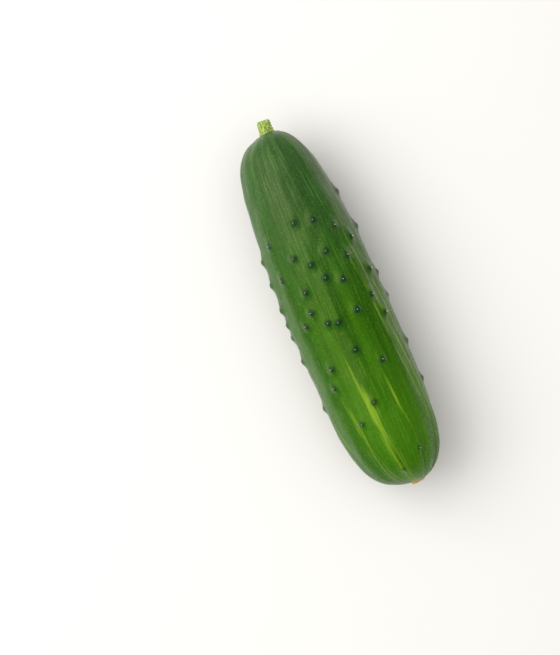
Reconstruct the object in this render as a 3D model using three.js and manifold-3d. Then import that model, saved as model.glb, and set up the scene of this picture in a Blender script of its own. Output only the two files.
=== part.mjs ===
// A whole cucumber lying on its side, with its stem stub and its blossom scar. Millimetres, +Z up.
// +X runs along the fruit to the blossom end. The origin is on the ground, below the middle.
// Station is the distance along the fruit from the stem end, and turn the angle round it from the top,
// in degrees, positive towards +Y.
import * as THREE from "three";
import { mergeVertices } from "three/addons/utils/BufferGeometryUtils.js";
import Module from "manifold-3d";

const wasm = await Module();
wasm.setup();

// The body's outline
const BODY_LENGTH = 167.3;
const BODY_RADIUS = 22.6;
const WIDEST_STATION = 100.8;
const SHOULDER_FULLNESS = 3.4;
const SHOULDER_POWER = 0.325;
const NOSE_FULLNESS = 4.8;
const NOSE_POWER = 0.46;
const NECK_WAIST = 0.6;
const NECK_STATION = 29.8;
const NECK_SPREAD = 14;
const NECK_FADE_POWER = 12;

// The centreline's slight sideways sway, with its crest at a station, its upward bow at both ends, and how
// far each end is drawn to one side
const SIDE_SWAY = 0.45;
const SIDE_SWAY_CREST = 23.8;
const SIDE_SWAY_LENGTH = 220;
const LIFT_BOW = 1.5;
const STEM_END_DRAW = 2.35;
const BLOSSOM_END_DRAW = 2.2;
const END_DRAW_REACH = 2.8;

// The section: three faint lobes, and soft ribs that sharpen towards both ends
const LOBE_COUNT = 3;
const LOBE_HEIGHT = 0.25;
const LOBE_TURN = 40;
const RIB_COUNT = 15;
const RIB_HEIGHT = 0.1;
const RIB_HEIGHT_AT_ENDS = 0.25;
const RIB_TURN = -6;
const END_SHARPENING_POWER = 4;

// Where it lies: the stem is sunk in one end, the scar reaches past the other, and the whole is centred
const STEM_LENGTH = 7.5;
const STEM_SUNK = 0.9;
const SCAR_REACH = 0.9;
const X_OF_STEM_END = (STEM_LENGTH - STEM_SUNK - BODY_LENGTH - SCAR_REACH) / 2;
const AXIS_HEIGHT = 22.1;

// The body's facets
const BODY_RINGS = 30;
const BODY_SIDES = 60;

// Warts. Each rises in a long ramp on its stem side and drops steeply on its blossom side.
const WART_HEIGHT = 1.3;
const WART_RAMP = 5.5;
const WART_DROP = 4;
const WART_HALF_WIDTH = 3.3;
const WART_SIDES = 8;
const WART_ROOT_DEPTH = 0.6;
const WART_ROOT_SPREAD = 1.1;
const WART_LEVELS = [
  { spread: 0.4, height: 0.78 },
  { spread: 0.72, height: 0.28 },
];
const SPINE_LENGTH = 0.8;
const SPINE_RADIUS = 0.3;
const SPINE_LEAN = 0.25;
const WORN_SPINE_LENGTH = 0.2;
const SHRINK_STATION = 98.8;
const SHRINK_PER_MM = 0.0065;

// The warts of the upper side, as [station, turn]
const UPPER_WARTS = [
  [41.8, -10], [43.8, 12], [49.3, 33], [46.3, -51], [58.3, 11], [55.8, -26], [56.8, 50],
  [61.3, -10], [63.3, 32], [62.3, -52], [68.8, -1], [71.3, -28], [72.3, 16], [72.8, 58],
  [80.3, -31], [83.3, 41], [86.8, 17], [84.8, -45], [87.3, -18], [88.8, -7], [92.8, 52],
  [102.3, -2], [106.3, -36], [110.8, 21], [114.3, -43], [126.3, -6], [133.3, -29], [152.3, 23],
  [158.8, -9],
];
// The warts that stand on the fruit's two side edges, where the spines are rubbed off
const EDGE_WARTS = [
  [51.3, -82], [62.3, -82], [74.3, -82], [81.3, -84], [87.3, -90], [98.8, -87], [121.8, -89],
  [35.3, 88], [52.8, 86], [75.3, 86], [86.3, 92], [108.3, 88], [126.3, 85],
];
// Below them the rows are filled by a rule
const FIRST_HIDDEN_TURN = 112;
const LAST_HIDDEN_TURN = 248;
const ROW_SPACING = 22.7;
const ROW_WANDER = 5;
const FIRST_WART_STATION = 36.8;
const LAST_WART_STATION = 156.8;
const WART_SPACING = 11;
const WART_SPACING_GROWTH = 0.17;
const WART_SPACING_SPREAD = 0.25;
const WART_SEED = 4211;
// No wart grows where the fruit lies on the ground.
const RESTING_HALF_TURN = 20;

// The stem stub
const STEM_SIDES = 20;
const STEM_ANGLES = 5;
const STEM_ANGLE_DEPTH = 0.09;
const STEM_LEAN_SIDEWAYS = 6;
const STEM_LEAN_UP = 8;
const STEM_OUTLINE = [
  { height: 0, radius: 3.45 },
  { height: 1.4, radius: 3.2 },
  { height: 4, radius: 2.95 },
  { height: 6.8, radius: 2.85 },
  { height: STEM_LENGTH, radius: 2.4 },
];
const STEM_CUT_DIP = 0.25;

// The blossom scar
const SCAR_RADIUS = 3;
const SCAR_SIDES = 20;
const SCAR_LOBES = 5;
const SCAR_LOBE_DEPTH = 0.06;
const SCAR_THICKNESS = 1.5;
const SCAR_DOME = 0.35;
const SCAR_PROUD = 0.6;
const SCAR_LEAN_SIDEWAYS = 5;
const SCAR_LEAN_UP = 15;
const SCAR_RISE = 1.6;

// The gap left between pieces that touch, and how far a seat reaches out of the fruit's skin
const SEAT_GAP = 0.3;
const SEAT_REACH = 3;

const radians = THREE.MathUtils.degToRad;

// The same numbers on every run, from 0 to 1
function seededDraws(seed) {
  const MULTIPLIER = 16807;
  const MODULUS = 2147483647;
  let state = seed;
  return () => {
    state = (state * MULTIPLIER) % MODULUS;
    return state / MODULUS;
  };
}

// The radius at a station: a long shoulder that narrows into a neck, and a blunt nose
function bodyRadius(station) {
  if (station >= WIDEST_STATION) {
    const share = (station - WIDEST_STATION) / (BODY_LENGTH - WIDEST_STATION);
    return BODY_RADIUS * Math.max(0, 1 - share ** NOSE_FULLNESS) ** NOSE_POWER;
  }
  const share = (WIDEST_STATION - station) / WIDEST_STATION;
  const round = BODY_RADIUS * Math.max(0, 1 - share ** SHOULDER_FULLNESS) ** SHOULDER_POWER;
  const waist = NECK_WAIST * Math.exp(-(((station - NECK_STATION) / NECK_SPREAD) ** 2));
  return round - waist * (1 - share ** NECK_FADE_POWER);
}

// The centre of the section at a station
function centreline(station) {
  const fromMiddle = (2 * station) / BODY_LENGTH - 1;
  const swayAngle = (2 * Math.PI * (station - SIDE_SWAY_CREST)) / SIDE_SWAY_LENGTH;
  const stemDraw = STEM_END_DRAW * Math.exp(-station / END_DRAW_REACH);
  const blossomDraw = BLOSSOM_END_DRAW * Math.exp((station - BODY_LENGTH) / END_DRAW_REACH);
  return new THREE.Vector3(
    X_OF_STEM_END + station,
    SIDE_SWAY * Math.cos(swayAngle) + stemDraw + blossomDraw,
    AXIS_HEIGHT + LIFT_BOW * fromMiddle ** 2,
  );
}

// How far the lobes and ribs raise the skin
function relief(station, turn) {
  const fullness = bodyRadius(station) / BODY_RADIUS;
  const fromMiddle = Math.abs((2 * station) / BODY_LENGTH - 1);
  const ribHeight = RIB_HEIGHT + (RIB_HEIGHT_AT_ENDS - RIB_HEIGHT) * fromMiddle ** END_SHARPENING_POWER;
  const lobes = LOBE_HEIGHT * Math.cos(radians(LOBE_COUNT * (turn - LOBE_TURN)));
  const ribs = ribHeight * Math.cos(radians(RIB_COUNT * (turn - RIB_TURN)));
  return fullness * (lobes + ribs);
}

function skinPoint(station, turn) {
  const reach = bodyRadius(station) + relief(station, turn);
  const outward = new THREE.Vector3(0, Math.sin(radians(turn)), Math.cos(radians(turn)));
  return centreline(station).addScaledVector(outward, reach);
}

// The slope is taken between two skin points a little to each side.
function skinNormal(station, turn) {
  const step = 0.5;
  const along = skinPoint(station + step, turn).sub(skinPoint(station - step, turn));
  const round = skinPoint(station, turn + step).sub(skinPoint(station, turn - step));
  return along.cross(round).normalize();
}

// A closed skin over rings of points, each with as many points, from one end point to the other
function closedSkin(firstEnd, rings, lastEnd) {
  const sides = rings[0].length;
  const points = [firstEnd, ...rings.flat(), lastEnd];
  const at = (ring, side) => 1 + ring * sides + (side % sides);
  const faces = [];
  for (let side = 0; side < sides; side++) {
    faces.push(0, at(0, side), at(0, side + 1));
    for (let ring = 0; ring + 1 < rings.length; ring++) {
      faces.push(at(ring, side), at(ring + 1, side), at(ring + 1, side + 1));
      faces.push(at(ring, side), at(ring + 1, side + 1), at(ring, side + 1));
    }
    faces.push(points.length - 1, at(rings.length - 1, side + 1), at(rings.length - 1, side));
  }
  return new THREE.BufferGeometry().setFromPoints(points).setIndex(faces);
}

// A ring of points, made side by side from a function of the side's angle
function ringOf(sides, pointAt) {
  return Array.from({ length: sides }, (_, side) => pointAt((2 * Math.PI * side) / sides));
}

function solidOf(geometry) {
  const bare = new THREE.BufferGeometry()
    .setAttribute("position", geometry.getAttribute("position"))
    .setIndex(geometry.getIndex());
  const merged = mergeVertices(bare);
  return new wasm.Manifold(
    new wasm.Mesh({
      numProp: 3,
      vertProperties: merged.getAttribute("position").array,
      triVerts: new Uint32Array(merged.getIndex().array),
    }),
  );
}

function geometryOf(solid) {
  const mesh = solid.getMesh();
  const geometry = new THREE.BufferGeometry()
    .setAttribute("position", new THREE.BufferAttribute(mesh.vertProperties, 3))
    .setIndex(new THREE.BufferAttribute(mesh.triVerts, 1));
  geometry.computeVertexNormals();
  return geometry;
}

// The bare body, with rings closer together towards both ends
function bodyGeometry() {
  const rings = [];
  for (let ring = 1; ring < BODY_RINGS; ring++) {
    const station = (BODY_LENGTH * (1 - Math.cos((Math.PI * ring) / BODY_RINGS))) / 2;
    rings.push(ringOf(BODY_SIDES, (angle) => skinPoint(station, THREE.MathUtils.radToDeg(angle))));
  }
  return closedSkin(skinPoint(0, 0), rings, skinPoint(BODY_LENGTH, 0));
}

// The rule for the hidden side: rows of warts that stand further apart towards the blossom end
function hiddenWarts() {
  const draw = seededDraws(WART_SEED);
  const warts = [];
  for (let row = FIRST_HIDDEN_TURN; row <= LAST_HIDDEN_TURN; row += ROW_SPACING) {
    let station = FIRST_WART_STATION + WART_SPACING * draw();
    while (station < LAST_WART_STATION) {
      const turn = row + ROW_WANDER * (2 * draw() - 1);
      if (Math.abs(turn - 180) > RESTING_HALF_TURN) {
        warts.push([station, turn]);
      }
      const spacing = WART_SPACING + WART_SPACING_GROWTH * (station - FIRST_WART_STATION);
      station += spacing * (1 + WART_SPACING_SPREAD * (2 * draw() - 1));
    }
  }
  return warts;
}

// Every wart as { station, turn, spineLength }
function allWarts() {
  const whole = [...UPPER_WARTS, ...hiddenWarts()];
  return [
    ...whole.map(([station, turn]) => ({ station, turn, spineLength: SPINE_LENGTH })),
    ...EDGE_WARTS.map(([station, turn]) => ({ station, turn, spineLength: WORN_SPINE_LENGTH })),
  ];
}

// One wart with its spine. Its root is sunk in the body, and twice as deep in the middle.
function wartGeometry({ station, turn, spineLength }) {
  const size = wartSize(station);
  const normal = skinNormal(station, turn);
  const height = WART_HEIGHT * size;
  const alongAndUp = (along, across, up) => {
    const sideTurn = THREE.MathUtils.radToDeg(across / bodyRadius(station));
    return skinPoint(station + along, turn + sideTurn).addScaledVector(normal, up);
  };
  const level = (spread, up) =>
    ringOf(WART_SIDES, (angle) => {
      const along = Math.cos(angle) * (Math.cos(angle) < 0 ? WART_RAMP : WART_DROP);
      const across = Math.sin(angle) * WART_HALF_WIDTH;
      return alongAndUp(along * spread * size, across * spread * size, up);
    });
  const spineRing = ringOf(WART_SIDES, (angle) =>
    alongAndUp(SPINE_RADIUS * Math.cos(angle), SPINE_RADIUS * Math.sin(angle), height),
  );
  const rings = [
    spineRing,
    ...WART_LEVELS.map((step) => level(step.spread, step.height * height)),
    level(WART_ROOT_SPREAD, -WART_ROOT_DEPTH),
  ];
  const spineTip = alongAndUp(SPINE_LEAN, 0, height + spineLength * size);
  return closedSkin(spineTip, rings, alongAndUp(0, 0, -2 * WART_ROOT_DEPTH));
}

// Warts get smaller towards the blossom end.
function wartSize(station) {
  return 1 - SHRINK_PER_MM * Math.max(0, station - SHRINK_STATION);
}

// The stem's outline is given from its sunk root up to its cut, along its own +Z. Its seat is
// wider by the clearance and taller by the rise.
function stemGeometry(clearance, rise) {
  const rings = STEM_OUTLINE.map(({ height, radius }) =>
    ringOf(STEM_SIDES, (angle) => {
      const reach = radius * (1 + STEM_ANGLE_DEPTH * Math.cos(STEM_ANGLES * angle)) + clearance;
      return new THREE.Vector3(reach * Math.cos(angle), reach * Math.sin(angle), height);
    }),
  );
  rings[0].forEach((point) => (point.z -= clearance));
  rings.at(-1).forEach((point) => (point.z += rise));
  const cutMiddle = new THREE.Vector3(0, 0, STEM_LENGTH - STEM_CUT_DIP + rise);
  return closedSkin(cutMiddle, rings.reverse(), new THREE.Vector3(0, 0, -clearance));
}

// A dry disc with a wavy edge, domed outwards along its own +Z. Its seat is taller by the given rise.
function scarGeometry(clearance, rise) {
  const edge = (height) =>
    ringOf(SCAR_SIDES, (angle) => {
      const reach = SCAR_RADIUS * (1 + SCAR_LOBE_DEPTH * Math.cos(SCAR_LOBES * angle)) + clearance;
      return new THREE.Vector3(reach * Math.cos(angle), reach * Math.sin(angle), height);
    });
  const floor = -SCAR_THICKNESS - clearance;
  const domeTop = new THREE.Vector3(0, 0, SCAR_DOME + rise);
  return closedSkin(domeTop, [edge(rise), edge(floor)], new THREE.Vector3(0, 0, floor));
}

// Stem and scar stand on the fruit's two end points, each leaning a little.
function placeStem(mesh) {
  mesh.position.copy(skinPoint(0, 0)).x += STEM_SUNK;
  mesh.rotation.set(0, radians(STEM_LEAN_UP - 90), radians(-STEM_LEAN_SIDEWAYS), "ZYX");
  mesh.updateMatrix();
  return mesh;
}

function placeScar(mesh) {
  mesh.position.copy(skinPoint(BODY_LENGTH, 0)).add(new THREE.Vector3(SCAR_PROUD - SCAR_DOME, 0, SCAR_RISE));
  mesh.rotation.set(0, radians(90 - SCAR_LEAN_UP), radians(SCAR_LEAN_SIDEWAYS), "ZYX");
  mesh.updateMatrix();
  return mesh;
}

// The room that a stem or scar takes in the fruit, with the gap left round it
function seatFor(makeGeometry, place) {
  const mesh = place(new THREE.Mesh(makeGeometry(SEAT_GAP, SEAT_REACH)));
  return solidOf(mesh.geometry.applyMatrix4(mesh.matrix));
}

// Everything under the ground plane, which leaves the fruit its small flat spot
function groundBlock() {
  const block = new THREE.BoxGeometry(2 * BODY_LENGTH, 4 * BODY_RADIUS, 2 * BODY_RADIUS);
  block.translate(0, 0, -BODY_RADIUS);
  return solidOf(block);
}

function fruitGeometry() {
  let solid = solidOf(bodyGeometry());
  for (const wart of allWarts()) {
    solid = solid.add(solidOf(wartGeometry(wart)));
  }
  return geometryOf(
    solid
      .subtract(seatFor(stemGeometry, placeStem))
      .subtract(seatFor(scarGeometry, placeScar))
      .subtract(groundBlock()),
  );
}

const skinMaterial = new THREE.MeshStandardMaterial({ color: 0x3f7d14, roughness: 0.38 });
const stemMaterial = new THREE.MeshStandardMaterial({ color: 0xa8c84c, roughness: 0.6 });
const scarMaterial = new THREE.MeshStandardMaterial({ color: 0xc68a32, roughness: 0.85 });

const fruit = new THREE.Mesh(fruitGeometry(), skinMaterial);
fruit.name = "fruit";

const stem = placeStem(new THREE.Mesh(stemGeometry(0, 0), stemMaterial));
stem.name = "stem";

const blossomScar = placeScar(new THREE.Mesh(scarGeometry(0, 0), scarMaterial));
blossomScar.name = "blossom_scar";

const cucumber = new THREE.Group();
cucumber.add(fruit, stem, blossomScar);

export default cucumber;
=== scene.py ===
"""The looks of a whole cucumber that lies on a white ground, seen from straight above.

Lengths are in millimetres until they reach a mesh, a light or the camera, which take metres. Station is the
distance along the fruit from its stem end. Turn is the angle round it from the top, in degrees, positive
towards +Y."""

import math

import bpy
import numpy as np
from mathutils import Matrix, Vector


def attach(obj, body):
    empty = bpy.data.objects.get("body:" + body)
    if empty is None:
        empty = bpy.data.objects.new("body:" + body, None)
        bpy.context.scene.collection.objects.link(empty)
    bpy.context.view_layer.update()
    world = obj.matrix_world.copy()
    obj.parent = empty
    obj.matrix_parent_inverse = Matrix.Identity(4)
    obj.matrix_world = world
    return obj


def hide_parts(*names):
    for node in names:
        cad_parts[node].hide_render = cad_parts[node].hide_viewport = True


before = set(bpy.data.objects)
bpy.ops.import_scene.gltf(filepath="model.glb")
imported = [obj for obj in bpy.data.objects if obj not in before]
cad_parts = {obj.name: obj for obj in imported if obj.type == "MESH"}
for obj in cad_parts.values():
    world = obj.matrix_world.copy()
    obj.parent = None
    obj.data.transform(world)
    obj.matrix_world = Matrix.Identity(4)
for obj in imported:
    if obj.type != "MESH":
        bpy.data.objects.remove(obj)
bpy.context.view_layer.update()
MM = 0.001

# Seeded draws, as in the solid
DRAW_FACTOR = 16807
DRAW_MODULUS = 2147483647

# The body's outline, as in the solid
BODY_LENGTH = 167.3
BODY_RADIUS = 22.6
WIDEST_STATION = 100.8
SHOULDER_FULLNESS = 3.4
SHOULDER_POWER = 0.325
NOSE_FULLNESS = 4.8
NOSE_POWER = 0.46
NECK_WAIST = 0.6
NECK_STATION = 29.8
NECK_SPREAD = 14
NECK_FADE_POWER = 12

# The centreline's sway and bow and the draw of its ends, as in the solid
SIDE_SWAY = 0.45
SIDE_SWAY_CREST = 23.8
SIDE_SWAY_LENGTH = 220
LIFT_BOW = 1.5
STEM_END_DRAW = 2.35
BLOSSOM_END_DRAW = 2.2
END_DRAW_REACH = 2.8

# The section's lobes and ribs, as in the solid
LOBE_COUNT = 3
LOBE_HEIGHT = 0.25
LOBE_TURN = 40
RIB_COUNT = 15
RIB_HEIGHT = 0.1
RIB_HEIGHT_AT_ENDS = 0.25
RIB_TURN = -6
END_SHARPENING_POWER = 4

# Where it lies, as in the solid
STEM_LENGTH = 7.5
STEM_SUNK = 0.9
SCAR_REACH = 0.9
X_OF_STEM_END = (STEM_LENGTH - STEM_SUNK - BODY_LENGTH - SCAR_REACH) / 2
AXIS_HEIGHT = 22.1

# The finer skin
SKIN_RINGS = 330
SKIN_SIDES = 264
OUTLINE_SAMPLES = 6000
NORMAL_STEP = 0.4
STEM_POLE_DIP = 0.3

# Low lumps all over the skin, as seeded waves
LUMP_SEED = 97
LUMP_COUNT = 14
SHORTEST_LUMP = 7
LONGEST_LUMP = 23
LUMP_STRETCH = 4
LUMP_HEIGHT = 0.092

# The low ring of skin round the stem, and the dip inside it
COLLAR_SQUASH = 0.6
COLLAR_HEIGHT = 0.4
COLLAR_RADIUS = 4.9
COLLAR_WIDTH = 1.3
COLLAR_DIP = 0.7
COLLAR_DIP_RADIUS = 2.6

# Warts: places, form and the rule for the hidden side, as in the solid
WART_HEIGHT = 1.3
WART_RAMP = 5.5
WART_DROP = 4
WART_HALF_WIDTH = 3.3
UPPER_WARTS = [
    (41.8, -10), (43.8, 12), (49.3, 33), (46.3, -51), (58.3, 11), (55.8, -26), (56.8, 50),
    (61.3, -10), (63.3, 32), (62.3, -52), (68.8, -1), (71.3, -28), (72.3, 16), (72.8, 58),
    (80.3, -31), (83.3, 41), (86.8, 17), (84.8, -45), (87.3, -18), (88.8, -7), (92.8, 52),
    (102.3, -2), (106.3, -36), (110.8, 21), (114.3, -43), (126.3, -6), (133.3, -29), (152.3, 23),
    (158.8, -9),
]
EDGE_WARTS = [
    (51.3, -82), (62.3, -82), (74.3, -82), (81.3, -84), (87.3, -90), (98.8, -87), (121.8, -89),
    (35.3, 88), (52.8, 86), (75.3, 86), (86.3, 92), (108.3, 88), (126.3, 85),
]
FIRST_HIDDEN_TURN = 112
LAST_HIDDEN_TURN = 248
ROW_SPACING = 22.7
ROW_WANDER = 5
FIRST_WART_STATION = 36.8
LAST_WART_STATION = 156.8
WART_SPACING = 11
WART_SPACING_GROWTH = 0.17
WART_SPACING_SPREAD = 0.25
WART_SEED = 4211
RESTING_HALF_TURN = 20
SHRINK_STATION = 98.8
SHRINK_PER_MM = 0.0065
SPINE_LENGTH = 0.8
SPINE_RADIUS = 0.17
SPINE_LEAN = 0.25
SPINE_SIDES = 10
SPINE_ROOT_DEPTH = 0.6

# A spine's outline, as (share of its length, share of its radius)
SPINE_OUTLINE = [(-0.5, 1.0), (0.1, 1.05), (0.45, 0.75), (0.8, 0.35)]

# The knob on each wart, and its dark colour and halo. A power above 1 makes a hump more pointed.
HILL_POWER = 1.5
KNOB_POWER = 0.9
DARK_POWER = 0.5
HALO_POWER = 1.2
HALO_SHIFT = 0.5
HALO_SQUEEZE = 0.9
KNOB_RADIUS = 1.7
KNOB_SHARE = 0.42
DARK_RADIUS = 1.85
HALO_RADIUS = 3.1

# Pale stripes from the blossom end, as (turn, first station, strength, half width). They twist slightly.
STRIPES = [
    (-72, 106, 0.6, 0.6), (-38, 106, 0.65, 1.1), (-12.5, 90, 0.75, 2.1), (19.5, 90, 0.55, 0.65),
    (50, 44, 0.65, 0.5), (60, 38, 0.8, 0.45), (69, 50, 0.8, 0.5), (86, 104, 0.5, 0.9),
    (112, 92, 0.7, 1.1), (139, 104, 0.5, 0.8), (163, 98, 0.6, 1.0), (190, 108, 0.5, 0.7),
    (214, 90, 0.8, 1.2), (241, 104, 0.5, 0.8), (264, 98, 0.6, 0.9),
]
STRIPE_WIDTH_AT_TIP = 0.35
LEAST_STRIPE_RADIUS = 2
STRIPE_TWIST = 0.24
TWIST_STATION = 130
STRIPE_RISE = 40
STRIPE_FADE = 0.35
STRIPE_FADE_STATION = 134
STRIPE_FADE_REACH = 20
STEM_STRIPE_STRENGTH = 0.27
STEM_STRIPE_STATION = 6
STEM_STRIPE_REACH = 34
FURROW_STATION = 134
FURROW_RISE = 22
FURROW_HALF_WIDTH = 0.6
FURROW_DEPTH = 0.22
FURROW_SHIFT = 0.15

# Waves in a stripe's course and width, as (height, length, step of the start from stripe to stripe)
STRIPE_SWAYS = [(0.35, 9, 2.1), (0.12, 3.7, 1)]
STRIPE_SWELLINGS = [(0.2, 4.1, 1), (0.1, 1.7, 3)]

# The stem stub
STEM_ANGLES = 5
STEM_ANGLE_DEPTH = 0.09
STEM_LEAN_SIDEWAYS = 6
STEM_LEAN_UP = 8
STEM_OUTLINE = [(0, 3.45), (1.4, 3.2), (4, 2.95), (6.8, 2.85), (STEM_LENGTH, 2.4)]
STEM_SIDES = 120
STEM_LEVELS = 56
STEM_TWIST = 0.04
STEM_FLARE = 0.12
STEM_FLARE_LEVEL = 0.9
STEM_FLARE_REACH = 0.8
STEM_RIDGE_COUNT = 15
STEM_RIDGE_HEIGHT = 0.05
STEM_RIDGE_SWAY = 0.6
STEM_FINE_RIDGE_COUNT = 23
STEM_FINE_RIDGE_HEIGHT = 0.03

# The stem's knobs, as (height, count round it, twist, start round it, count along it, start along it)
STEM_KNOBS = [(0.10, 7, 2.2, 0, 2.9, 0.5), (0.07, 11, -3.1, 1, 1.7, 0)]

# The stem's cut: a rounded rim, then rings as (share of the rim, dip)
STEM_RIM = 0.25
STEM_RIM_STEP = 0.1
STEM_RIM_INSET = 0.22
CUT_RINGS = [(0.93, 0.02), (0.85, 0.1), (0.7, 0.14), (0.5, 0.2), (0.3, 0.3), (0.15, 0.42)]
CUT_WAVE = 0.05
CUT_MIDDLE_DIP = 0.45
CUT_DEPTH = 0.5
CUT_SHARE = 0.95

# The blossom scar
SCAR_RADIUS = 3
SCAR_LOBES = 5
SCAR_LOBE_DEPTH = 0.06
SCAR_THICKNESS = 1.5
SCAR_DOME = 0.35
SCAR_PROUD = 0.6
SCAR_LEAN_SIDEWAYS = 5
SCAR_LEAN_UP = 15
SCAR_RISE = 1.6
SCAR_SIDES = 100
SCAR_RINGS = 26
SCAR_FIRST_SHARE = 0.06
SCAR_WAVE_COUNT = 13
SCAR_WAVE_DEPTH = 0.02
SCAR_RIM_HEIGHT = 0.16
SCAR_RIM_SHARE = 0.82
SCAR_RIM_WIDTH = 0.1
SCAR_PIT_DEPTH = 0.3
SCAR_PIT_SHARE = 0.22
SCAR_MIDDLE = 0.04
SCAR_TOP_MARGIN = 0.02

# The scar's cracks: their depth, and the waves that cross to make them, as (count round, swirl outwards)
SCAR_CRACK_DEPTH = 0.09
SCAR_CRACKS = [(9, 5), (14, -9)]

# The scar's side, as (share of its radius, height)
SCAR_SIDE = [(1.02, -0.15), (1.03, -0.5), (1.0, -SCAR_THICKNESS)]

# The photograph's frame, in its own pixels, and the size of one of them on the fruit
FRAME_WIDTH_PX = 560
FRAME_HEIGHT_PX = 655
PIXEL = 0.4455
AXIS_POINT_PX = (339.86, 314.15)
AXIS_DIRECTION_PX = (0.40505, 0.91430)
AXIS_POINT_STATION = 85.94
LENS = 85
SENSOR = 36
CLIP_NEAR = 0.01
CLIP_FAR = 10

# The studio: the ground in millimetres, the large soft light in metres and watts, the room's strengths
GROUND_HALF = 3000
GROUND_ROUGHNESS = 0.9
KEY_DIRECTION = (-0.38, -0.53, 0.76)
KEY_DISTANCE = 0.95
KEY_LENGTH = 1.5
KEY_HEIGHT = 1.05
KEY_POWER = 15.5
ROOM_AT_HORIZON = 0.25
ROOM_OVERHEAD = 1.4

# The sizes of the soft light's panels, as shares of its length and height
KEY_PANELS = (1.1, 0.9, 0.72, 0.54)


def seeded_draws(seed):
    """The same numbers on every run, from 0 to 1."""
    state = seed
    while True:
        state = state * DRAW_FACTOR % DRAW_MODULUS
        yield state / DRAW_MODULUS


def bump(distance, power):
    """A hump that falls from 1 in its middle to 0 at distance 1."""
    return np.clip(1 - distance**2, 0, None) ** power


def smooth_rise(value, start, reach):
    """0 up to start, then smoothly to 1 over reach."""
    share = np.clip((value - start) / reach, 0, 1)
    return share * share * (3 - 2 * share)


def turn_apart(turn, other):
    return (turn - other + 180) % 360 - 180


# The skin's form


def body_radius(station):
    nose = np.clip((station - WIDEST_STATION) / (BODY_LENGTH - WIDEST_STATION), 0, 1)
    shoulder = np.clip((WIDEST_STATION - station) / WIDEST_STATION, 0, 1)
    behind = (1 - shoulder**SHOULDER_FULLNESS) ** SHOULDER_POWER
    ahead = (1 - nose**NOSE_FULLNESS) ** NOSE_POWER
    waist = NECK_WAIST * np.exp(-(((station - NECK_STATION) / NECK_SPREAD) ** 2))
    waist = waist * (1 - shoulder**NECK_FADE_POWER) * (station < WIDEST_STATION)
    return BODY_RADIUS * behind * ahead - waist


def centreline(station):
    from_middle = 2 * station / BODY_LENGTH - 1
    stem_draw = STEM_END_DRAW * np.exp(-station / END_DRAW_REACH)
    blossom_draw = BLOSSOM_END_DRAW * np.exp((station - BODY_LENGTH) / END_DRAW_REACH)
    sway_angle = 2 * math.pi * (station - SIDE_SWAY_CREST) / SIDE_SWAY_LENGTH
    side = SIDE_SWAY * np.cos(sway_angle) + stem_draw + blossom_draw
    return np.stack([X_OF_STEM_END + station, side, AXIS_HEIGHT + LIFT_BOW * from_middle**2], -1)


def relief(station, turn):
    fullness = body_radius(station) / BODY_RADIUS
    from_middle = np.abs(2 * station / BODY_LENGTH - 1)
    rib_height = RIB_HEIGHT + (RIB_HEIGHT_AT_ENDS - RIB_HEIGHT) * from_middle**END_SHARPENING_POWER
    lobes = LOBE_HEIGHT * np.cos(np.radians(LOBE_COUNT * (turn - LOBE_TURN)))
    ribs = rib_height * np.cos(np.radians(RIB_COUNT * (turn - RIB_TURN)))
    return fullness * (lobes + ribs)


def bare_skin(station, turn):
    reach = body_radius(station) + relief(station, turn)
    angle = np.radians(turn)
    outward = np.stack([np.zeros_like(angle), np.sin(angle), np.cos(angle)], -1)
    return centreline(station) + outward * reach[..., None]


def skin_normal(station, turn):
    station = np.clip(station, NORMAL_STEP, BODY_LENGTH - NORMAL_STEP)
    along = bare_skin(station + NORMAL_STEP, turn) - bare_skin(station - NORMAL_STEP, turn)
    around = bare_skin(station, turn + NORMAL_STEP) - bare_skin(station, turn - NORMAL_STEP)
    normal = np.cross(along, around)
    return normal / np.linalg.norm(normal, axis=-1, keepdims=True)


def wart_size(station):
    return 1 - SHRINK_PER_MM * max(0, station - SHRINK_STATION)


def hidden_warts():
    draw = seeded_draws(WART_SEED)
    warts = []
    row = FIRST_HIDDEN_TURN
    while row <= LAST_HIDDEN_TURN:
        station = FIRST_WART_STATION + WART_SPACING * next(draw)
        while station < LAST_WART_STATION:
            turn = row + ROW_WANDER * (2 * next(draw) - 1)
            if abs(turn - 180) > RESTING_HALF_TURN:
                warts.append((station, turn))
            spacing = WART_SPACING + WART_SPACING_GROWTH * (station - FIRST_WART_STATION)
            station += spacing * (1 + WART_SPACING_SPREAD * (2 * next(draw) - 1))
        row += ROW_SPACING
    return warts


WARTS = UPPER_WARTS + EDGE_WARTS + hidden_warts()


def wart_fields(station, turn):
    """How high the warts raise the skin, and how strongly their dark knobs and halos colour it."""
    height = np.zeros_like(station)
    dark = np.zeros_like(station)
    halo = np.zeros_like(station)
    across_per_degree = np.radians(body_radius(station))
    for wart_station, wart_turn in WARTS:
        size = wart_size(wart_station)
        along = (station - wart_station) / size
        across = turn_apart(turn, wart_turn) * across_per_degree / size
        reach = np.where(along < 0, WART_RAMP, WART_DROP)
        hill = bump(np.hypot(along / reach, across / WART_HALF_WIDTH), HILL_POWER)
        middle = np.hypot(along, across)
        knob = bump(middle / KNOB_RADIUS, KNOB_POWER)
        height = np.maximum(height, size * WART_HEIGHT * ((1 - KNOB_SHARE) * hill + KNOB_SHARE * knob))
        dark = np.maximum(dark, bump(middle / DARK_RADIUS, DARK_POWER) * min(1, size))
        from_halo = np.hypot((along - HALO_SHIFT) * HALO_SQUEEZE, across)
        halo = np.maximum(halo, bump(from_halo / HALO_RADIUS, HALO_POWER) * size)
    return height, dark, halo


def with_waves(level, station, number, waves):
    """A level with waves along the fruit added to it, which start elsewhere in each stripe."""
    for height, length, step in waves:
        level = level + height * np.sin(station / length + step * number)
    return level


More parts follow.
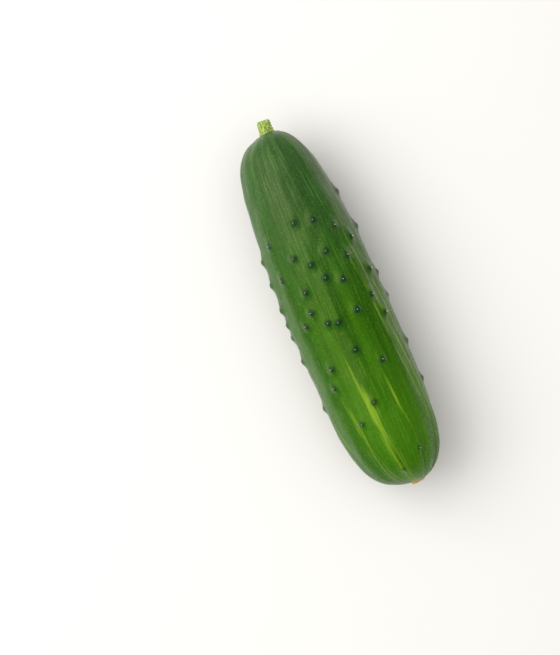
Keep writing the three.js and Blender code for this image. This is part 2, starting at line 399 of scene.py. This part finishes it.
def stripe_fields(station, turn):
    """Where the pale stripes run, fainter at both ends, and the dark furrows that split them by the scar."""
    stripe = np.zeros_like(station)
    furrow = np.zeros_like(station)
    fullness = body_radius(station) / BODY_RADIUS
    across_per_degree = np.radians(np.maximum(body_radius(station), LEAST_STRIPE_RADIUS))
    narrowing = STRIPE_WIDTH_AT_TIP + (1 - STRIPE_WIDTH_AT_TIP) * fullness
    by_stem = 1 - smooth_rise(station, STEM_STRIPE_STATION, STEM_STRIPE_REACH)
    fade = 1 - STRIPE_FADE * smooth_rise(station, STRIPE_FADE_STATION, STRIPE_FADE_REACH)
    for number, (middle, first, strength, half_width) in enumerate(STRIPES):
        sway = with_waves(0, station, number, STRIPE_SWAYS)
        here = middle + STRIPE_TWIST * (station - TWIST_STATION)
        across = turn_apart(turn, here) * across_per_degree + sway * fullness
        rise = smooth_rise(station, first, STRIPE_RISE) + STEM_STRIPE_STRENGTH * by_stem
        swelling = with_waves(1, station, number, STRIPE_SWELLINGS)
        band = np.exp(-((across / (half_width * narrowing * swelling)) ** 2))
        stripe = np.maximum(stripe, strength * rise * fade * band)
        line = np.exp(-(((across - FURROW_SHIFT * narrowing) / (FURROW_HALF_WIDTH * narrowing)) ** 2))
        furrow = np.maximum(furrow, line * smooth_rise(station, FURROW_STATION, FURROW_RISE))
    return stripe, furrow


def unevenness(points):
    """Low lumps all over the skin, every other one stretched along the fruit."""
    draw = seeded_draws(LUMP_SEED)
    total = np.zeros(points.shape[:-1])
    for lump in range(LUMP_COUNT):
        wavelength = SHORTEST_LUMP + (LONGEST_LUMP - SHORTEST_LUMP) * next(draw)
        stretch = 1 if lump % 2 else LUMP_STRETCH
        heading = np.array([(2 * next(draw) - 1) / stretch, 2 * next(draw) - 1, 2 * next(draw) - 1])
        phase = 2 * math.pi * next(draw)
        total += wavelength / LONGEST_LUMP * np.cos(points @ heading * 2 * math.pi / wavelength + phase)
    return LUMP_HEIGHT * total


def stem_collar(points):
    """The skin dips round the stem and swells in a low ring about it."""
    root = bare_skin(np.array(0.0), np.array(0.0))
    away = np.linalg.norm((points - root) * np.array([COLLAR_SQUASH, 1, 1]), axis=-1)
    ring = COLLAR_HEIGHT * np.exp(-(((away - COLLAR_RADIUS) / COLLAR_WIDTH) ** 2))
    return ring - COLLAR_DIP * np.exp(-((away / COLLAR_DIP_RADIUS) ** 2))


def even_stations(count):
    """Stations that lie evenly spaced on the skin, along its outline."""
    fine = BODY_LENGTH * (1 - np.cos(np.linspace(0, math.pi, OUTLINE_SAMPLES))) / 2
    steps = np.hypot(np.diff(fine), np.diff(body_radius(fine)))
    walked = np.concatenate([[0], np.cumsum(steps)])
    return np.interp(np.linspace(0, walked[-1], count), walked, fine)


# Meshes


def lofted_mesh(name, first_end, rings, last_end):
    """A closed skin from one end point to the other over rings, an array of (ring, side, xyz)."""
    count, sides = rings.shape[:2]
    points = np.concatenate([[first_end], rings.reshape(-1, 3), [last_end]]) * MM
    last = len(points) - 1
    here = np.arange(sides)
    beside = (here + 1) % sides
    faces = [(0, 1 + a, 1 + b) for a, b in zip(here, beside)]
    for ring in range(count - 1):
        low = 1 + ring * sides
        high = low + sides
        faces += [(low + a, high + a, high + b, low + b) for a, b in zip(here, beside)]
    low = 1 + (count - 1) * sides
    faces += [(last, low + b, low + a) for a, b in zip(here, beside)]
    mesh = bpy.data.meshes.new(name)
    mesh.from_pydata(points.tolist(), [], [tuple(map(int, f)) for f in faces])
    mesh.shade_smooth()
    piece = bpy.data.objects.new(name, mesh)
    bpy.context.scene.collection.objects.link(piece)
    return piece


def add_field(piece, name, first, values, last):
    """Stores one number for each point of a lofted mesh."""
    field = piece.data.attributes.new(name, "FLOAT", "POINT")
    field.data.foreach_set("value", np.concatenate([[first], values.ravel(), [last]]).astype(np.float32))


def add_vector_field(piece, name, values):
    """Stores one vector for each point of a lofted mesh."""
    field = piece.data.attributes.new(name, "FLOAT_VECTOR", "POINT")
    field.data.foreach_set("vector", values.astype(np.float32).ravel())


def make_skin():
    stations = even_stations(SKIN_RINGS + 2)[1:-1]
    turns = 180 + np.arange(SKIN_SIDES) * 360 / SKIN_SIDES
    station, turn = np.meshgrid(stations, turns, indexing="ij")
    points = bare_skin(station, turn)
    normal = skin_normal(station, turn)
    height, dark, halo = wart_fields(station, turn)
    stripe, furrow = stripe_fields(station, turn)
    raised = height + unevenness(points) + stem_collar(points) - FURROW_DEPTH * furrow
    points = points + normal * raised[..., None]
    points[..., 2] = np.maximum(points[..., 2], 0)
    ends = bare_skin(np.array([0.0, BODY_LENGTH]), np.array([0.0, 0.0]))
    ends[0, 0] += STEM_POLE_DIP
    skin = lofted_mesh("cucumber_skin", ends[0], points, ends[1])
    add_field(skin, "station", 0, station, BODY_LENGTH)
    for name, values in (("dark", dark), ("halo", halo), ("stripe", stripe), ("furrow", furrow)):
        add_field(skin, name, 0, values, 0)
    angle = np.radians(turn)
    grain = np.stack([station, BODY_RADIUS * np.sin(angle), BODY_RADIUS * np.cos(angle)], -1)
    grain = np.concatenate([[[0, 0, 0]], grain.reshape(-1, 3), [[BODY_LENGTH, 0, 0]]])
    add_vector_field(skin, "grain", grain)
    return skin


def make_spines():
    """One pale pointed spine on each wart, but for the worn ones on the side edges, all in one mesh."""
    angles = np.arange(SPINE_SIDES) * 2 * math.pi / SPINE_SIDES
    points, faces = [], []
    for station, turn in UPPER_WARTS + hidden_warts():
        size = wart_size(station)
        place = np.array(float(station)), np.array(float(turn))
        normal = skin_normal(*place)
        along = np.cross(np.array([0, math.cos(math.radians(turn)), -math.sin(math.radians(turn))]), normal)
        across = np.cross(normal, along)
        top = bare_skin(*place) + normal * (size * WART_HEIGHT + unevenness(bare_skin(*place)))
        start = len(points)
        for rise, width in SPINE_OUTLINE:
            middle = top + normal * rise * SPINE_LENGTH * size + along * SPINE_LEAN * max(rise, 0) * size
            ring = np.outer(np.cos(angles), along) + np.outer(np.sin(angles), across)
            points += (middle + ring * SPINE_RADIUS * width * size).tolist()
        points.append((top + (normal * SPINE_LENGTH + along * SPINE_LEAN) * size).tolist())
        points.append((top - normal * SPINE_ROOT_DEPTH).tolist())
        tip, root = len(points) - 2, len(points) - 1
        for side in range(SPINE_SIDES):
            beside = (side + 1) % SPINE_SIDES
            faces.append((root, start + beside, start + side))
            for ring in range(len(SPINE_OUTLINE) - 1):
                low = start + ring * SPINE_SIDES
                high = low + SPINE_SIDES
                faces.append((low + side, low + beside, high + beside, high + side))
            high = start + (len(SPINE_OUTLINE) - 1) * SPINE_SIDES
            faces.append((high + side, high + beside, tip))
    mesh = bpy.data.meshes.new("wart_spines")
    points = np.array(points)
    points[:, 2] = np.maximum(points[:, 2], 0)
    mesh.from_pydata((points * MM).tolist(), [], faces)
    mesh.shade_smooth()
    spines = bpy.data.objects.new("wart_spines", mesh)
    bpy.context.scene.collection.objects.link(spines)
    return spines


def lean(up, sideways):
    """Turns a form that stands on +Z so that it lies along the fruit, leaning up and sideways."""
    return Matrix.Rotation(math.radians(sideways), 4, "Z") @ Matrix.Rotation(math.radians(up), 4, "Y")


def place(piece, spot, turned):
    piece.data.transform(Matrix.Translation(Vector(spot) * MM) @ turned)
    piece.data.update()


def stem_ring(level, angle):
    """The stalk's outline at a level: five angles with fibrous ridges and knobs, drawn in at the rim."""
    heights, radii = np.array(STEM_OUTLINE).T
    radius = np.interp(level, heights, radii)
    flare = STEM_FLARE * math.exp(-(((level - STEM_FLARE_LEVEL) / STEM_FLARE_REACH) ** 2))
    swayed = STEM_RIDGE_COUNT * angle + STEM_RIDGE_SWAY * math.sin(level)
    ridges = STEM_RIDGE_HEIGHT * np.cos(swayed)
    ridges = ridges + STEM_FINE_RIDGE_HEIGHT * np.cos(STEM_FINE_RIDGE_COUNT * angle + level)
    knobs = np.zeros_like(angle)
    for height, count, twist, begin, count_along, begin_along in STEM_KNOBS:
        along = math.cos(count_along * level + begin_along)
        knobs = knobs + height * np.cos(count * angle + twist * level + begin) * along
    twisted = angle + STEM_TWIST * level
    reach = radius * (1 + STEM_ANGLE_DEPTH * np.cos(STEM_ANGLES * twisted)) + flare + ridges + knobs
    reach = reach - STEM_RIM_INSET * max(0, (level - STEM_LENGTH + STEM_RIM) / STEM_RIM) ** 2
    return np.stack([reach * np.cos(angle), reach * np.sin(angle), np.full(STEM_SIDES, level)], -1)


def make_stem():
    """A five-angled stalk, flared into the shoulder and cut off flat."""
    angle = np.arange(STEM_SIDES) * 2 * math.pi / STEM_SIDES
    levels = np.linspace(0, STEM_LENGTH - STEM_RIM, STEM_LEVELS)
    levels = np.concatenate([levels, [STEM_LENGTH - STEM_RIM_STEP, STEM_LENGTH]])
    rings = [stem_ring(level, angle) for level in levels]
    rim = rings[-1]
    for share, dip in CUT_RINGS:
        inner = rim * np.array([share, share, 1])
        inner[:, 2] = STEM_LENGTH - dip - CUT_WAVE * np.cos(STEM_ANGLES * angle) * (1 - share)
        rings.append(inner)
    stack = np.array(rings)[::-1]
    stem = lofted_mesh("stem_stub", (0, 0, STEM_LENGTH - CUT_MIDDLE_DIP), stack, (0, 0, 0))
    near_top = stack[:, 0, 2] > STEM_LENGTH - CUT_DEPTH
    inside_rim = np.hypot(stack[:, 0, 0], stack[:, 0, 1]) < np.hypot(*rim[0, :2]) * CUT_SHARE
    add_field(stem, "cut", 1, np.repeat(near_top & inside_rim, STEM_SIDES), 0)
    spot = bare_skin(np.array(0.0), np.array(0.0)) + np.array([STEM_SUNK, 0, 0])
    place(stem, spot, lean(STEM_LEAN_UP - 90, -STEM_LEAN_SIDEWAYS))
    return stem


def make_scar():
    """A dry corky disc with a wavy raised edge and radial cracks."""
    angle = np.arange(SCAR_SIDES) * 2 * math.pi / SCAR_SIDES
    wavy = 1 + SCAR_LOBE_DEPTH * np.cos(SCAR_LOBES * angle)
    wavy = wavy + SCAR_WAVE_DEPTH * np.cos(SCAR_WAVE_COUNT * angle + 1)
    rings = []
    for share in np.linspace(SCAR_FIRST_SHARE, 1, SCAR_RINGS):
        dome = SCAR_DOME * (1 - share**2)
        dome = dome + SCAR_RIM_HEIGHT * math.exp(-(((share - SCAR_RIM_SHARE) / SCAR_RIM_WIDTH) ** 2))
        cracks = SCAR_CRACK_DEPTH
        for count, swirl in SCAR_CRACKS:
            cracks = cracks * np.cos(count * angle + swirl * share)
        pit = SCAR_PIT_DEPTH * math.exp(-((share / SCAR_PIT_SHARE) ** 2))
        reach = SCAR_RADIUS * wavy * share
        height = np.minimum(dome + cracks * share - pit, SCAR_DOME - SCAR_TOP_MARGIN)
        rings.append(np.stack([reach * np.cos(angle), reach * np.sin(angle), height], -1))
    for share, height in SCAR_SIDE:
        reach = SCAR_RADIUS * wavy * share
        level = np.full(SCAR_SIDES, height)
        rings.append(np.stack([reach * np.cos(angle), reach * np.sin(angle), level], -1))
    scar = lofted_mesh("scar_disc", (0, 0, SCAR_MIDDLE), np.array(rings), (0, 0, -SCAR_THICKNESS))
    spot = bare_skin(np.array(BODY_LENGTH), np.array(0.0))
    spot = spot + np.array([SCAR_PROUD - SCAR_DOME, 0, SCAR_RISE])
    place(scar, spot, lean(90 - SCAR_LEAN_UP, SCAR_LEAN_SIDEWAYS))
    return scar


# Materials


class Shader:
    """A node material with its Principled shader, and short calls for the nodes that feed it."""

    def __init__(self, name, **uniform):
        self.material = bpy.data.materials.new(name)
        self.material.use_nodes = True
        self.nodes = self.material.node_tree.nodes
        self.links = self.material.node_tree.links
        self.surface = self.nodes["Principled BSDF"]
        for socket, value in uniform.items():
            self.surface.inputs[socket.replace("_", " ")].default_value = value

    def feed(self, socket, value):
        if isinstance(value, bpy.types.NodeSocket):
            self.links.new(value, socket)
        else:
            socket.default_value = value

    def field(self, name, output="Fac"):
        node = self.nodes.new("ShaderNodeAttribute")
        node.attribute_name = name
        return node.outputs[output]

    def place(self):
        return self.nodes.new("ShaderNodeTexCoord").outputs["Object"]

    def scaled(self, vector, scale):
        node = self.nodes.new("ShaderNodeMapping")
        self.feed(node.inputs["Vector"], vector)
        node.inputs["Scale"].default_value = scale
        return node.outputs["Vector"]

    def part(self, vector, axis):
        node = self.nodes.new("ShaderNodeSeparateXYZ")
        self.feed(node.inputs["Vector"], vector)
        return node.outputs[axis]

    def noise(self, vector, scale, detail=3, roughness=0.5, distortion=0):
        node = self.nodes.new("ShaderNodeTexNoise")
        self.feed(node.inputs["Vector"], vector)
        node.inputs["Scale"].default_value = scale
        node.inputs["Detail"].default_value = detail
        node.inputs["Roughness"].default_value = roughness
        node.inputs["Distortion"].default_value = distortion
        return node.outputs["Fac"]

    def cells(self, vector, scale):
        node = self.nodes.new("ShaderNodeTexVoronoi")
        self.feed(node.inputs["Vector"], vector)
        node.inputs["Scale"].default_value = scale
        return node.outputs["Distance"]

    def span(self, value, low, high, to_low=0.0, to_high=1.0):
        """Carries the range low to high over to another, smoothly and held at its ends."""
        node = self.nodes.new("ShaderNodeMapRange")
        node.interpolation_type = "SMOOTHSTEP"
        for number, given in enumerate((value, low, high, to_low, to_high)):
            self.feed(node.inputs[number], given)
        return node.outputs[0]

    def maths(self, operation, first, second):
        node = self.nodes.new("ShaderNodeMath")
        node.operation = operation
        self.feed(node.inputs[0], first)
        self.feed(node.inputs[1], second)
        return node.outputs[0]

    def blend(self, share, first, second):
        """From the first colour to the second by share. A colour is three linear numbers or a socket."""
        node = self.nodes.new("ShaderNodeMix")
        node.data_type = "RGBA"
        self.feed(node.inputs["Factor"], share)
        for socket, value in ((node.inputs[6], first), (node.inputs[7], second)):
            self.feed(socket, value if isinstance(value, bpy.types.NodeSocket) else (*value, 1))
        return node.outputs[2]

    def bumps(self, height, strength, distance, under=None):
        node = self.nodes.new("ShaderNodeBump")
        node.inputs["Strength"].default_value = strength
        node.inputs["Distance"].default_value = distance
        self.feed(node.inputs["Height"], height)
        if under is not None:
            self.feed(node.inputs["Normal"], under)
        return node.outputs["Normal"]

    def finish(self, colour, roughness, normal):
        self.feed(self.surface.inputs["Base Color"], colour)
        self.feed(self.surface.inputs["Roughness"], roughness)
        self.feed(self.surface.inputs["Normal"], normal)
        return self.material


# Colours, as linear red, green and blue
DEEP_GREEN = (0.011, 0.055, 0.001)
MID_GREEN = (0.023, 0.094, 0.001)
# Painted shade: the darker green that the -Y flank is blended towards
PAINTED_SHADE_GREEN = (0.006, 0.052, 0.001)
STEM_END_GREEN = (0.009, 0.047, 0.006)
BLOSSOM_END_GREEN = (0.035, 0.132, 0.001)
STREAK_GREEN = (0.046, 0.145, 0.002)
STRIPE_GREEN = (0.175, 0.295, 0.014)
FURROW_GREEN = (0.012, 0.056, 0.002)
WART_GREEN = (0.003, 0.021, 0.009)
HALO_GREEN = (0.014, 0.062, 0.010)
FLECK_GREEN = (0.130, 0.290, 0.012)
BLOOM_GREY = (0.140, 0.240, 0.150)
SPINE_TAN = (0.46, 0.32, 0.09)
SPINE_CREAM = (0.78, 0.62, 0.26)
STALK_GREEN = (0.11, 0.20, 0.008)
STALK_RIDGE_YELLOW = (0.42, 0.52, 0.12)
STALK_PATCH_GREEN = (0.07, 0.13, 0.008)
STALK_CUT_PALE = (0.58, 0.68, 0.30)
CORK_BROWN = (0.36, 0.15, 0.02)
CORK_TAN = (0.72, 0.42, 0.10)
CORK_CRACK_BROWN = (0.16, 0.07, 0.015)
GROUND_WHITE = (0.600, 0.586, 0.560)

# The skin's gloss where it is the same all over
SKIN_GLOSS = {"Specular_Tint": (0.74, 1, 0.24, 1), "Specular_IOR_Level": 0.56, "Coat_Roughness": 0.4}

# How a pattern is stretched: its scale along the fruit and across it twice
LENGTHWISE_GRAIN = (0.018, 0.32, 0.32)
STREAK_GRAIN = (0.05, 1.1, 1.1)
COMBED_GRAIN = (0.09, 1.5, 1.5)
FIBRE_GRAIN = (0.45, 1, 1)

# Noises, as (scale, detail, roughness, distortion where it has any), or as a scale alone
LENGTHWISE_NOISE = (1, 4, 0.6)
STREAK_NOISE = (1, 3, 0.6)
MOTTLE_NOISE = (260, 5, 0.62)
FLECK_NOISE = (1500, 2, 0.5)
PORE_NOISE = (900, 3, 0.6)
ROLLING_NOISE = (330, 3, 0.55)
COMBED_NOISE = (1, 3, 0.6, 0.5)
FIBRE_NOISE = (1500, 4, 0.65)
STALK_PATCH_NOISE = (900, 3, 0.6)
CORK_NOISE = (1300, 4, 0.65)
SPINE_NOISE_SCALE = 900
SPINE_GRAIN_SCALE = 2500
STALK_CELLS = 1100
CORK_CELLS = 900

# Bumps, as (strength, distance in metres)
ROLLING_BUMP = (0.4, 0.0007)
COMBED_BUMP = (0.4, 0.0003)
PORE_BUMP = (0.35, 0.0003)
SPINE_BUMP = (0.2, 0.0001)
FIBRE_BUMP = (0.9, 0.0006)
STALK_CELL_BUMP = (0.6, 0.0004)
CORK_BUMP = (0.7, 0.0004)

# Ranges of a noise or a field, as (low, high) and what they are carried to where that isn't 0 and 1
LENGTHWISE_RANGE = (0.35, 0.66)
STREAK_RANGE = (0.5, 0.7)
RAGGED_RANGE = (0.02, 0.3)
STRIPE_RANGE = (0.05, 1, 0, 0.85)
FLECK_RANGE = (0.55, 0.75)
BLOOM_RANGE = (0.25, 0.8)
ROUGHNESS_RANGE = (0.3, 0.7, 0.23, 0.32)
FIBRE_RANGE = (0.35, 0.65)
STALK_PATCH_RANGE = (0.5, 0.68, 0, 0.6)
STALK_ROUGHNESS_RANGE = (0.3, 0.7, 0.5, 0.7)
CORK_RANGE = (0.35, 0.7)
CORK_CRACK_RANGE = (0.0, 0.25, 0.7, 0)

# Changes along the fruit, as (first station, last station, value at the first, value at the last)
STEM_END_CHANGE = (15, 95, 0.9, 0)
BLOSSOM_END_CHANGE = (85, 150, 0, 0.6)
STREAK_CHANGE = (70, 150, 0.4, 0.7)
BLOOM_CHANGE = (0, 90, 0.14, 0.01)
COAT_CHANGE = (10, 95, 0.28, 0)
STEM_END_DULLING = (10, 70, 0.13, 0)
COMBED_CHANGE = (125, 160, 1, 3.5)

# Changes across the fruit, as (from, to, value there, value there) on its side axis
# Painted shade on the -Y flank, strongest towards its edge
PAINTED_SHADE_CHANGE = (-19, -8, 0.6, 0)
RIGHT_FLANK_CHANGE = (9, 18, 1, 1.8)

# Shares and strengths
NOISE_MIDDLE = 0.5
RAGGEDNESS = 1.6
FURROW_SHARE = 0.75
FLECK_SHARE = 0.28
HALO_SHARE = 0.6
WART_SHARE = 0.92
WART_GLOSS = 0.1
SPINE_ROUGHNESS = 0.45
CORK_ROUGHNESS = 0.85


def skin_colour(shader, spot, grain, station, fine_streaks):
    """Streaked along the fruit, striped from the blossom end, dark on the warts, with painted shade
    darkening the -Y flank.
    """
    lengthwise = shader.noise(shader.scaled(grain, LENGTHWISE_GRAIN), *LENGTHWISE_NOISE)
    flecks = shader.noise(spot, *FLECK_NOISE)
    colour = shader.blend(shader.span(lengthwise, *LENGTHWISE_RANGE), DEEP_GREEN, MID_GREEN)
    colour = shader.blend(shader.span(station, *STEM_END_CHANGE), colour, STEM_END_GREEN)
    colour = shader.blend(shader.span(station, *BLOSSOM_END_CHANGE), colour, BLOSSOM_END_GREEN)
    streaks = shader.span(fine_streaks, *STREAK_RANGE)
    streaks = shader.maths("MULTIPLY", streaks, shader.span(station, *STREAK_CHANGE))
    colour = shader.blend(streaks, colour, STREAK_GREEN)
    # Painted shade: the -Y flank is blended towards a darker green
    painted_shade = shader.span(shader.part(grain, "Y"), *PAINTED_SHADE_CHANGE)
    colour = shader.blend(painted_shade, colour, PAINTED_SHADE_GREEN)
    stripe = shader.field("stripe")
    ragged = shader.maths("MULTIPLY", shader.maths("SUBTRACT", fine_streaks, NOISE_MIDDLE), RAGGEDNESS)
    ragged = shader.maths("MULTIPLY", ragged, shader.span(stripe, *RAGGED_RANGE))
    broken = shader.span(shader.maths("ADD", stripe, ragged), *STRIPE_RANGE)
    colour = shader.blend(broken, colour, STRIPE_GREEN)
    furrow = shader.maths("MULTIPLY", shader.field("furrow"), FURROW_SHARE)
    colour = shader.blend(furrow, colour, FURROW_GREEN)
    fleck = shader.maths("MULTIPLY", shader.span(flecks, *FLECK_RANGE), FLECK_SHARE)
    colour = shader.blend(fleck, colour, FLECK_GREEN)
    halo = shader.maths("MULTIPLY", shader.field("halo"), HALO_SHARE)
    colour = shader.blend(halo, colour, HALO_GREEN)
    wart = shader.maths("MULTIPLY", shader.field("dark"), WART_SHARE)
    colour = shader.blend(wart, colour, WART_GREEN)
    bloom = shader.span(fine_streaks, *BLOOM_RANGE)
    bloom = shader.maths("MULTIPLY", bloom, shader.span(station, *BLOOM_CHANGE))
    return shader.blend(bloom, colour, BLOOM_GREY)


def skin_bumps(shader, spot, grain, station):
    """Rolling, combed along the fruit and pored, combed most by the scar and on the right flank."""
    pores = shader.noise(spot, *PORE_NOISE)
    rolling = shader.noise(spot, *ROLLING_NOISE)
    combed = shader.noise(shader.scaled(grain, COMBED_GRAIN), *COMBED_NOISE)
    combed = shader.maths("MULTIPLY", combed, shader.span(station, *COMBED_CHANGE))
    combed = shader.maths("MULTIPLY", combed, shader.span(shader.part(grain, "Y"), *RIGHT_FLANK_CHANGE))
    normal = shader.bumps(rolling, *ROLLING_BUMP)
    normal = shader.bumps(combed, *COMBED_BUMP, normal)
    return shader.bumps(pores, *PORE_BUMP, normal)


def skin_material():
    """Waxy green skin, waxier by the stem and glossier on the warts."""
    shader = Shader("cucumber_skin", **SKIN_GLOSS)
    spot = shader.place()
    grain = shader.field("grain", "Vector")
    station = shader.field("station")
    fine_streaks = shader.noise(shader.scaled(grain, STREAK_GRAIN), *STREAK_NOISE)
    mottle = shader.noise(spot, *MOTTLE_NOISE)
    colour = skin_colour(shader, spot, grain, station, fine_streaks)
    shader.feed(shader.surface.inputs["Coat Weight"], shader.span(station, *COAT_CHANGE))
    roughness = shader.span(mottle, *ROUGHNESS_RANGE)
    roughness = shader.maths("ADD", roughness, shader.span(station, *STEM_END_DULLING))
    warts = shader.maths("MULTIPLY", shader.field("dark"), WART_GLOSS)
    roughness = shader.maths("SUBTRACT", roughness, warts)
    return shader.finish(colour, roughness, skin_bumps(shader, spot, grain, station))


def spine_material():
    """Pale horn, blotched with tan."""
    shader = Shader("wart_spines")
    spot = shader.place()
    colour = shader.blend(shader.noise(spot, SPINE_NOISE_SCALE), SPINE_TAN, SPINE_CREAM)
    normal = shader.bumps(shader.noise(spot, SPINE_GRAIN_SCALE), *SPINE_BUMP)
    return shader.finish(colour, SPINE_ROUGHNESS, normal)


def stem_material():
    """Pale fibrous stalk, yellower on its ridges, with a moist cut."""
    shader = Shader("stem_stub")
    spot = shader.place()
    fibres = shader.noise(shader.scaled(spot, FIBRE_GRAIN), *FIBRE_NOISE)
    patches = shader.noise(spot, *STALK_PATCH_NOISE)
    colour = shader.blend(shader.span(fibres, *FIBRE_RANGE), STALK_GREEN, STALK_RIDGE_YELLOW)
    colour = shader.blend(shader.span(patches, *STALK_PATCH_RANGE), colour, STALK_PATCH_GREEN)
    colour = shader.blend(shader.field("cut"), colour, STALK_CUT_PALE)
    normal = shader.bumps(fibres, *FIBRE_BUMP)
    normal = shader.bumps(shader.cells(spot, STALK_CELLS), *STALK_CELL_BUMP, normal)
    return shader.finish(colour, shader.span(patches, *STALK_ROUGHNESS_RANGE), normal)


def scar_material():
    """Dry tan cork with darker cracks."""
    shader = Shader("scar_disc")
    spot = shader.place()
    cork = shader.noise(spot, *CORK_NOISE)
    cracks = shader.cells(spot, CORK_CELLS)
    colour = shader.blend(shader.span(cork, *CORK_RANGE), CORK_BROWN, CORK_TAN)
    colour = shader.blend(shader.span(cracks, *CORK_CRACK_RANGE), colour, CORK_CRACK_BROWN)
    return shader.finish(colour, CORK_ROUGHNESS, shader.bumps(cork, *CORK_BUMP))


def ground_material():
    """Plain warm white paper."""
    shader = Shader("white_ground", Roughness=GROUND_ROUGHNESS, Base_Color=(*GROUND_WHITE, 1))
    return shader.material


# Camera, ground and light


def make_camera():
    """Straight above, rolled so that the fruit lies across the frame as in the photograph."""
    along = Vector((*AXIS_DIRECTION_PX, 0))
    offset = Vector((FRAME_WIDTH_PX / 2 - AXIS_POINT_PX[0], FRAME_HEIGHT_PX / 2 - AXIS_POINT_PX[1], 0))
    ahead = offset.dot(along) * PIXEL
    aside = offset.dot(Vector((-along.y, along.x, 0))) * PIXEL
    distance = FRAME_HEIGHT_PX * PIXEL * LENS / SENSOR
    camera = bpy.data.cameras.new("camera")
    camera.lens = LENS
    camera.sensor_width = SENSOR
    camera.clip_start = CLIP_NEAR
    camera.clip_end = CLIP_FAR
    eye = bpy.data.objects.new("camera", camera)
    bpy.context.scene.collection.objects.link(eye)
    right = Vector((along.x, along.y, 0))
    up = Vector((-along.y, along.x, 0))
    spot = Vector((X_OF_STEM_END + AXIS_POINT_STATION + ahead, -aside, AXIS_HEIGHT + distance)) * MM
    eye.matrix_world = Matrix.Translation(spot) @ Matrix((right, up, (0, 0, 1))).transposed().to_4x4()
    bpy.context.scene.camera = eye


def make_ground():
    """A flat square of ground under the fruit."""
    half = GROUND_HALF * MM
    corners = [(-half, -half, 0), (half, -half, 0), (half, half, 0), (-half, half, 0)]
    mesh = bpy.data.meshes.new("ground")
    mesh.from_pydata(corners, [], [(0, 1, 2, 3)])
    mesh.materials.append(ground_material())
    ground = bpy.data.objects.new("ground", mesh)
    bpy.context.scene.collection.objects.link(ground)


def softbox(name, power, size):
    """A panel of the large soft light beside the fruit."""
    light = bpy.data.lights.new(name, "AREA")
    light.shape = "RECTANGLE"
    light.size = KEY_LENGTH * size
    light.size_y = KEY_HEIGHT * size
    light.energy = power
    lamp = bpy.data.objects.new(name, light)
    bpy.context.scene.collection.objects.link(lamp)
    toward = Vector(KEY_DIRECTION).normalized()
    lamp.location = toward * KEY_DISTANCE
    lamp.rotation_mode = "QUATERNION"
    lamp.rotation_quaternion = toward.to_track_quat("Z", "Y")


def make_light():
    """A room that is brightest overhead, and a large soft light beside the fruit.

    The room shows in no reflection. The light is several panels of one place and direction, so it fades
    towards its edges."""
    world = bpy.data.worlds.new("studio")
    bpy.context.scene.world = world
    world.use_nodes = True
    nodes, links = world.node_tree.nodes, world.node_tree.links
    upward = nodes.new("ShaderNodeSeparateXYZ")
    strength = nodes.new("ShaderNodeMapRange")
    strength.inputs["To Min"].default_value = ROOM_AT_HORIZON
    strength.inputs["To Max"].default_value = ROOM_OVERHEAD
    links.new(nodes.new("ShaderNodeTexCoord").outputs["Generated"], upward.inputs[0])
    links.new(upward.outputs["Z"], strength.inputs["Value"])
    links.new(strength.outputs["Result"], nodes["Background"].inputs["Strength"])
    nodes["Background"].inputs["Color"].default_value = (1, 1, 1, 1)
    world.cycles_visibility.glossy = False
    world.cycles.sampling_method = "NONE"
    for size in KEY_PANELS:
        softbox(f"key_{size}", KEY_POWER / len(KEY_PANELS), size)
    bpy.context.scene.view_settings.view_transform = "Standard"


# The object

make_camera()

skin = make_skin()
skin.data.materials.append(skin_material())
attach(skin, "root")
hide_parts("fruit")

spines = make_spines()
spines.data.materials.append(spine_material())
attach(spines, "root")

stem = make_stem()
stem.data.materials.append(stem_material())
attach(stem, "root")
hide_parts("stem")

scar = make_scar()
scar.data.materials.append(scar_material())
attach(scar, "root")
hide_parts("blossom_scar")

make_ground()
make_light()
